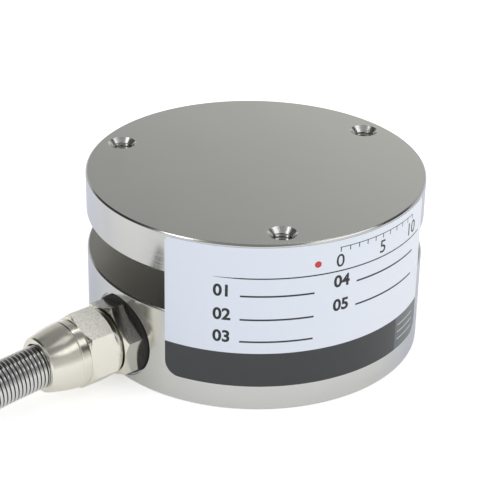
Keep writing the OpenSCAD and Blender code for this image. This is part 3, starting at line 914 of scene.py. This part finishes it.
def new_finish(name, colour, metallic, roughness, **others):
    """A finish with its plain numbers on the shader itself, the others with _ in place of each space."""
    material = bpy.data.materials.new(name)
    material.use_nodes = True
    shader = material.node_tree.nodes["Principled BSDF"]
    numbers = dict(Base_Color=(*colour, 1), Metallic=metallic, Roughness=roughness, **others)
    for socket, value in numbers.items():
        shader.inputs[socket.replace("_", " ")].default_value = value
    return material, material.node_tree, shader


def add_node(tree, kind, inputs=None, **settings):
    """A node with its settings, and with its inputs linked or set."""
    node = tree.nodes.new("ShaderNode" + kind)
    for key, value in settings.items():
        setattr(node, key, value)
    for key, value in (inputs or {}).items():
        if isinstance(value, bpy.types.NodeSocket):
            tree.links.new(value, node.inputs[key])
        else:
            node.inputs[key].default_value = value
    return node


def number(tree, operation, *values):
    """What an operation makes of the values."""
    return add_node(tree, "Math", dict(enumerate(values)), operation=operation).outputs["Value"]


def mapped(tree, value, low, high, source=(0.3, 0.7)):
    """The value carried over from a source range to a range from low to high."""
    ends = {"From Min": source[0], "From Max": source[1], "To Min": low, "To Max": high}
    return add_node(tree, "MapRange", {"Value": value, **ends}).outputs["Result"]


def mixed(tree, factor, first, second):
    """A blend of two colours, each four numbers or a link."""
    inputs = {"Factor": factor, "A": first, "B": second}
    return add_node(tree, "Mix", inputs, data_type="RGBA").outputs["Result"]


def place_on_piece(tree, scale=(1, 1, 1)):
    """Object coordinates in millimetres, stretched by a scale."""
    place = add_node(tree, "TexCoord").outputs["Object"]
    return add_node(tree, "Mapping", {"Vector": place, "Scale": [s / MM for s in scale]}).outputs["Vector"]


def noise(tree, grain, detail=3.0):
    """Noise whose grain runs as the three numbers say, per millimetre along each axis."""
    inputs = {"Vector": place_on_piece(tree, grain), "Scale": 1.0, "Detail": detail}
    return add_node(tree, "TexNoise", inputs).outputs["Fac"]


def brushed(tree, shader, axis):
    """Spreads the gleam across lines that run round an axis."""
    tangent = add_node(tree, "Tangent", direction_type="RADIAL", axis=axis)
    tree.links.new(tangent.outputs["Tangent"], shader.inputs["Tangent"])


def bumped(tree, shader, height, distance):
    """Raises the surface by a height, with the distance in millimetres."""
    bump = add_node(tree, "Bump", {"Height": height, "Distance": distance * MM})
    tree.links.new(bump.outputs["Normal"], shader.inputs["Normal"])


def mottled(tree, shader, grain, low, high):
    """Varies the roughness between two values."""
    tree.links.new(mapped(tree, noise(tree, grain), low, high), shader.inputs["Roughness"])


def tinted(tree, shader, value, dark, light):
    """Varies the colour between two shades."""
    tree.links.new(mixed(tree, value, (*dark, 1), (*light, 1)), shader.inputs["Base Color"])


def turned_steel():
    """Fine turned stainless steel: lines run round the body, so its gleam spreads up and down; its bluish
    edge tint paints a cool reflection onto the grazing edges.
    """
    # Painted reflection: the specular tint makes the body's grazing edges bluish
    material, tree, shader = new_finish("turned_steel", (0.7, 0.7, 0.68), 1.0, 0.15, Anisotropic=0.6,
                                        Specular_Tint=(0.76, 0.79, 0.9, 1))
    brushed(tree, shader, "Z")
    bumped(tree, shader, noise(tree, (0.05, 0.05, 9.0), 4.0), 0.0006)
    mottled(tree, shader, (0.06, 0.06, 2.0), 0.13, 0.19)
    tinted(tree, shader, noise(tree, (0.05, 0.05, 0.1)), (0.68, 0.68, 0.66), (0.73, 0.73, 0.71))
    return material


def ground_steel():
    """The loading face: evenly ground to a warm satin grey, with a painted sheen that makes it lighter
    towards the back.
    """
    material, tree, shader = new_finish("ground_steel", (0.6, 0.59, 0.56), 1.0, 0.38)
    bumped(tree, shader, noise(tree, even(6), 5.0), 0.003)
    mottled(tree, shader, even(0.08), 0.36, 0.42)
    along = add_node(tree, "SeparateXYZ", {"Vector": place_on_piece(tree)}).outputs["Y"]
    # Painted light: the colour runs from darker at the front to lighter at the back, as if light fell on the
    # back of the face
    painted_sheen_to_back = mapped(tree, along, 0.0, 1.0, (-BODY_R, BODY_R))
    tinted(tree, shader, painted_sheen_to_back, (0.59, 0.595, 0.553), (0.84, 0.85, 0.79))
    return material


def groove_shade_steel():
    """The walls of the groove, left rough as the parting tool cut them, and painted darker for the shade
    between flange and housing.
    """
    # Painted shade: the dark colour stands in for the shade deep in the groove
    material, tree, shader = new_finish("groove_shade_steel", (0.42, 0.41, 0.38), 1.0, 0.34)
    bumped(tree, shader, noise(tree, (0.3, 0.3, 6.0), 4.0), 0.002)
    tinted(tree, shader, noise(tree, even(0.08)), (0.38, 0.37, 0.34), (0.46, 0.45, 0.42))
    return material


def plated(name, dark, light, roughness, anisotropic=0.0, marks=0.0012, patches=even(0.12)):
    """Satin plate over turned and milled metal, with fine tool marks round the lead's axis."""
    material, tree, shader = new_finish(name, light, 1.0, roughness, Anisotropic=anisotropic)
    brushed(tree, shader, "Y")
    bumped(tree, shader, noise(tree, (0.5, 12.0, 0.5)), marks)
    mottled(tree, shader, (0.5, 4.0, 0.5), roughness - 0.04, roughness + 0.06)
    tinted(tree, shader, noise(tree, patches), dark, light)
    return material


def milled_plate_painted_highlight():
    """Plate over milled flats with cross-hatched cutter marks, made near white and mostly non-metal as a
    painted highlight on the flats that face up.
    """
    material, tree, shader = new_finish("milled_plate_painted_highlight", (0.9, 0.88, 0.8), 0.2, 0.4)
    hatch = noise(tree, (2.0, 5.0, 2.0), 2.0)
    bumped(tree, shader, hatch, 0.003)
    tinted(tree, shader, mapped(tree, hatch, 0.0, 1.0), (0.64, 0.62, 0.55), (1.0, 0.99, 0.93))
    return material


def moulded(name, dark, light, roughness):
    """Moulded or extruded plastic or rubber with a faint grain."""
    material, tree, shader = new_finish(name, light, 0.0, roughness)
    bumped(tree, shader, noise(tree, even(3.0), 4.0), 0.004)
    mottled(tree, shader, even(0.3), roughness - 0.06, roughness + 0.08)
    tinted(tree, shader, noise(tree, even(0.2)), dark, light)
    return material


def printed_film():
    """The label: pale film with a header rule, ruled fields, a scale and a dark lower band."""
    material, tree, shader = new_finish("printed_film", (0.75, 0.8, 0.88), 0.0, 0.32)
    turn = {"Vector": place_on_piece(tree), "Angle": -radians(LABEL_AZIMUTH)}
    facing = add_node(tree, "VectorRotate", turn, rotation_type="Z_AXIS").outputs["Vector"]
    place = add_node(tree, "SeparateXYZ", {"Vector": facing}).outputs

    def work(operation, *values):
        return number(tree, operation, *values)

    across = work("MULTIPLY_ADD", work("ARCTAN2", place["Y"], place["X"]), BODY_R, LABEL_W / 2)
    up = place["Z"]

    def inside(value, low, high):
        """One between two limits, with an edge as soft as print."""
        away, half, soft = work("ABSOLUTE", work("ADD", value, -(low + high) / 2)), (high - low) / 2, 0.03
        return mapped(tree, away, 0.0, 1.0, (half + soft, half - soft))

    def box(left, low, right, high):
        return work("MULTIPLY", inside(across, left, right), inside(up, low, high))

    def either(*masks):
        total = masks[0]
        for mask in masks[1:]:
            total = work("MAXIMUM", total, mask)
        return total

    rules = [box(left, low - RULE_HALF_T, right, low + RULE_HALF_T) for left, low, right in FIELD_RULES]
    # The header rule grows from a hair at its left end
    half_thick = work("MINIMUM", work("MULTIPLY_ADD", across, 0.02, -0.2), 0.16)
    header = work("MULTIPLY", inside(across, HEADER_LEFT, HEADER_RIGHT),
                  work("LESS_THAN", work("ABSOLUTE", work("ADD", up, -HEADER_Z)), half_thick))
    # A plain scale over the right-hand fields
    step = work("PINGPONG", work("ADD", across, -FIRST_TICK), HALF_TICK_GAP)
    ticks = work("MULTIPLY", work("LESS_THAN", step, HALF_TICK_T),
                 box(SCALE_LEFT, SCALE_Z - TICK_L, SCALE_RIGHT, SCALE_Z + 0.1))
    ink = either(*rules, header, ticks, box(SCALE_LEFT, SCALE_Z, SCALE_RIGHT, SCALE_Z + 0.2))
    fine_print = either(*(box(FINE_PRINT_LEFT, low, FINE_PRINT_RIGHT, low + 0.3) for low in FINE_PRINT_ROWS))
    squares = [work("POWER", work("ADD", value, -middle), 2.0)
               for value, middle in ((across, DOT_ACROSS), (up, DOT_Z))]
    dot = work("LESS_THAN", work("SQRT", work("ADD", *squares)), DOT_R)
    band = work("LESS_THAN", up, BAND_TOP)
    band_end = work("MULTIPLY", band, inside(across, BAND_PALE_FROM, 80))

    to_right = mapped(tree, across, 0.0, 1.0, (0.0, LABEL_W))
    colour = mixed(tree, to_right, (0.785, 0.845, 0.955, 1), (0.865, 0.905, 0.985, 1))
    layers = [(band, (0.043, 0.045, 0.048, 1)), (band_end, (0.12, 0.14, 0.15, 1)),
              (ink, (0.02, 0.02, 0.024, 1)), (fine_print, (0.55, 0.58, 0.6, 1)), (dot, (0.6, 0.05, 0.06, 1))]
    for mask, print_colour in layers:
        colour = mixed(tree, mask, colour, print_colour)
    tree.links.new(colour, shader.inputs["Base Color"])
    bumped(tree, shader, noise(tree, even(0.25), 2.0), 0.01)
    return material


# Metals: dark and light shade, roughness, and how far the gleam spreads
METALS = {
    "cover_steel": ((0.56, 0.56, 0.55), (0.62, 0.62, 0.6), 0.3),
    "screw_steel": (even(0.4), (0.5, 0.5, 0.49), 0.32),
    "nickel_plate": ((0.84, 0.82, 0.72), (0.91, 0.89, 0.79), 0.17, 0.6),
    "terminal_copper": ((0.6, 0.36, 0.2), (0.75, 0.48, 0.28), 0.35),
    "tinned_copper": ((0.58, 0.58, 0.56), (0.7, 0.7, 0.68), 0.35),
}
# Plastics, rubber and foam: dark and light shade, and roughness
MOULDINGS = {
    "seal_rubber": (even(0.01), even(0.022), 0.6),
    "gauge_film": ((0.6, 0.38, 0.12), (0.75, 0.52, 0.22), 0.3),
    "board_laminate": ((0.02, 0.16, 0.07), (0.04, 0.24, 0.11), 0.3),
    "pad_foam": ((0.78, 0.75, 0.66), (0.86, 0.84, 0.76), 0.8),
    "resistor_blue": ((0.14, 0.3, 0.5), (0.22, 0.4, 0.62), 0.3),
    "resistor_tan": ((0.6, 0.45, 0.28), (0.72, 0.57, 0.38), 0.3),
    "red_insulation": ((0.55, 0.03, 0.03), (0.68, 0.05, 0.04), 0.4),
    "black_insulation": (even(0.02), even(0.035), 0.4),
    "green_insulation": ((0.02, 0.3, 0.09), (0.04, 0.4, 0.13), 0.4),
    "white_insulation": ((0.76, 0.76, 0.73), (0.84, 0.84, 0.81), 0.4),
    "cable_jacket": ((0.08, 0.08, 0.085), (0.12, 0.12, 0.125), 0.5),
    "tie_nylon": (even(0.02), even(0.035), 0.42),
}
FINISHES = {name: plated(name, *look) for name, look in METALS.items()}
FINISHES.update({name: moulded(name, *look) for name, look in MOULDINGS.items()})
FINISHES["hose_steel"] = plated("spring_wire", (0.7, 0.7, 0.69), (0.78, 0.78, 0.77), 0.12)
FINISHES["body_steel"] = turned_steel()
FINISHES["label_film"] = printed_film()

dressed = [(frame["nodes"][part["node"]], part["material_slot"]) for part in frame["record"]["subparts"]]
dressed += [(piece, piece["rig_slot"]) for piece in scene.objects
            if piece.get("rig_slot") in FINISHES and "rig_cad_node" not in piece]
for piece, slot in dressed:
    piece.data.materials.clear()
    piece.data.materials.append(FINISHES[slot])


def share_out(piece, finishes, chosen):
    """Gives a piece more finishes, and each face the one whose number is chosen for it."""
    for finish in finishes:
        piece.data.materials.append(finish)
    for face in piece.data.polygons:
        face.material_index = int(chosen(face))


def upward_flat_for_highlight(face):
    """The nut's flats that face up, which take the painted highlight, and nothing that the lathe turned."""
    from_axis = (face.center / MM - Vector((0, 0, GLAND_Z))).dot(face.normal)
    return abs(face.normal.y) < 0.01 and face.normal.z > 0.5 and abs(from_axis - HEX_R) < 0.01


TOP_HOLES = [toward(a).xy * TOP_HOLE_CIRCLE_R for a in HOLE_AZIMUTHS]


def body_finish(face):
    """Ground on top, a painted highlight on the countersinks and painted shade on the threads below them,
    painted shade in the groove and turned everywhere else.
    """
    middle = face.center / MM
    if middle.z > BODY_H - 0.01 and face.normal.z > 0.999:
        return 1
    if middle.z > GROOVE_TOP + 0.05 and min((middle.xy - hole).length for hole in TOP_HOLES) < COUNTERSINK_R:
        # Painted shade on the thread deeper in the hole, painted highlight on the countersink above it
        return 3 if middle.z < BODY_H - COUNTERSINK_R + TAP_R else 4
    # The groove's walls take the painted shade
    in_groove = HOUSING_H - 0.05 < middle.z < GROOVE_TOP + 0.05
    return 2 if in_groove and middle.xy.length < BODY_R - HOUSING_CHAMFER else 0


# The gland's plate is painted darker where it faces up, a painted reflection of the body's dark groove; the
# wire's first and last steps lie in the gap between turns and are painted darker as shade; and the numerals
# stand proud of the film
# Painted reflection: the gland's faces that turn up take a darker copy of the plate
share_out(gland, [plated("up_facing_painted_dark_plate", (0.22, 0.21, 0.18), (0.78, 0.76, 0.68), 0.22, 0.6, 0.0015,
                         (1.4, 4.0, 1.4))], lambda face: face.normal.z > 0.4)
# Painted shade: the gaps between the wire's turns take a darker copy of the wire's steel
share_out(hose_start, [plated("hose_gap_painted_shade", even(0.22), even(0.3), 0.3)],
          lambda face: face.index // HOSE_SIDES % WIRE_STEPS in (0, WIRE_STEPS - 1))
# Painted highlight: the nut's flats that face up take a near-white, mostly non-metal plate
share_out(nut, [milled_plate_painted_highlight()], upward_flat_for_highlight)
share_out(label, [new_finish("label_ink", (0.02, 0.02, 0.024), 0.0, 0.4)[0]],
          lambda face: (face.center.xy / MM).length > LABEL_R + LABEL_T + 0.003)
# The body's finishes: ground top, painted shade in the groove, painted shade on the threads and a painted
# highlight on the countersinks
share_out(body, [ground_steel(), groove_shade_steel(),
                 plated("thread_painted_shade", (0.5, 0.49, 0.47), (0.62, 0.61, 0.58), 0.18),
                 plated("countersink_painted_highlight", (0.88, 0.88, 0.86), (0.95, 0.95, 0.93), 0.24)], body_finish)


# Stage

# The floor's white in plain light and in gloss, and what lifts it to the camera and in gloss
FLOOR_PLAIN, FLOOR_GLOSS = 0.9, 0.74
CAMERA_LIFT, GLOSS_LIFT = 0.48, 0.24

# The room: its light on plain surfaces, and in gloss its levels from the horizon up to the ceiling
ROOM_LIGHT = 0.86
GLOSS_LEVELS = [(0.0, 0.8), (0.08, 0.7), (0.25, 0.5), (0.47, 0.5), (0.65, 0.28), (1.0, 0.22)]

# Black screens that only gloss shows: azimuth, elevation and radius in degrees
SCREENS = [(212, 39, 31), (325, 24, 14), (272, 8, 15), (40, 28, 12), (70, 31, 16)]
SCREEN_LEVEL, SCREEN_SOFT_EDGE = 0.08, 3

# Soft boxes a metre away: azimuth, elevation, width, height and power
SOFT_BOXES = {
    "soft_box_left": (255, 54, 0.24, 0.24, 0.4),
    "soft_box_right": (27, 49, 0.8, 0.3, 0.7),
    "soft_box_back": (115, 60, 0.1, 0.36, 0.26),
    "soft_box_above": (48, 80, 0.34, 0.22, 0.12),
}


def make_floor():
    """A white floor, plain white to the camera and in gloss too, that keeps the shadow."""
    floor = added(bpy.ops.mesh.primitive_plane_add, size=8)
    floor.name = "floor"
    material, tree, shader = new_finish("white_floor", even(FLOOR_PLAIN), 0.0, 0.9, Specular_IOR_Level=0.0,
                                        Emission_Color=(1, 1, 1, 1))
    floor.data.materials.append(material)
    rays = add_node(tree, "LightPath").outputs
    tinted(tree, shader, rays["Is Glossy Ray"], even(FLOOR_PLAIN), even(FLOOR_GLOSS))
    in_gloss = number(tree, "MULTIPLY", rays["Is Glossy Ray"], GLOSS_LIFT)
    lift = number(tree, "MULTIPLY_ADD", rays["Is Camera Ray"], CAMERA_LIFT, in_gloss)
    tree.links.new(lift, shader.inputs["Emission Strength"])


make_floor()


def make_room():
    """An even white room for plain surfaces, and for gloss a white backdrop under a dim ceiling."""
    world = bpy.data.worlds.new("studio")
    scene.world = world
    world.use_nodes = True
    tree = world.node_tree
    tree.nodes.clear()
    direction = add_node(tree, "TexCoord").outputs["Generated"]
    height = add_node(tree, "SeparateXYZ", {"Vector": direction}).outputs["Z"]
    ramp = add_node(tree, "ValToRGB", {"Fac": height})
    elements = ramp.color_ramp.elements
    while len(elements) < len(GLOSS_LEVELS):
        elements.new(0.5)
    for element, (at, level) in zip(elements, GLOSS_LEVELS):
        element.position = at
        element.color = (*even(level), 1)
    screens = 1.0
    for azimuth, elevation, radius in SCREENS:
        both = {0: direction, 1: toward(azimuth, elevation)}
        near = add_node(tree, "VectorMath", both, operation="DOT_PRODUCT").outputs["Value"]
        edge = [cos(radians(radius + soft)) for soft in (SCREEN_SOFT_EDGE, -SCREEN_SOFT_EDGE)]
        screens = number(tree, "MULTIPLY", screens, mapped(tree, near, 1.0, SCREEN_LEVEL, edge))
    gloss = add_node(tree, "Background", {"Color": ramp.outputs["Color"], "Strength": screens})
    room, clear = (add_node(tree, "Background", {"Color": (1, 1, 1, 1), "Strength": light})
                   for light in (ROOM_LIGHT, 1.0))
    rays = add_node(tree, "LightPath").outputs
    lit = add_node(tree, "MixShader", {0: rays["Is Glossy Ray"], 1: room.outputs[0], 2: gloss.outputs[0]})
    seen = number(tree, "MAXIMUM", rays["Is Camera Ray"], rays["Is Transmission Ray"])
    final = add_node(tree, "MixShader", {0: seen, 1: lit.outputs[0], 2: clear.outputs[0]})
    add_node(tree, "OutputWorld", {"Surface": final.outputs[0]})


def make_soft_boxes():
    """Area lights that face the body."""
    for name, (azimuth, elevation, width, height, power) in SOFT_BOXES.items():
        box = added(bpy.ops.object.light_add, type="AREA")
        box.name = name
        box.data.shape, box.data.size, box.data.size_y, box.data.energy = "RECTANGLE", width, height, power
        box.location = toward(azimuth, elevation)
        box.rotation_euler = toward(azimuth, elevation).to_track_quat("Z", "Y").to_euler()


make_room()
make_soft_boxes()
scene.view_settings.view_transform = "Standard"
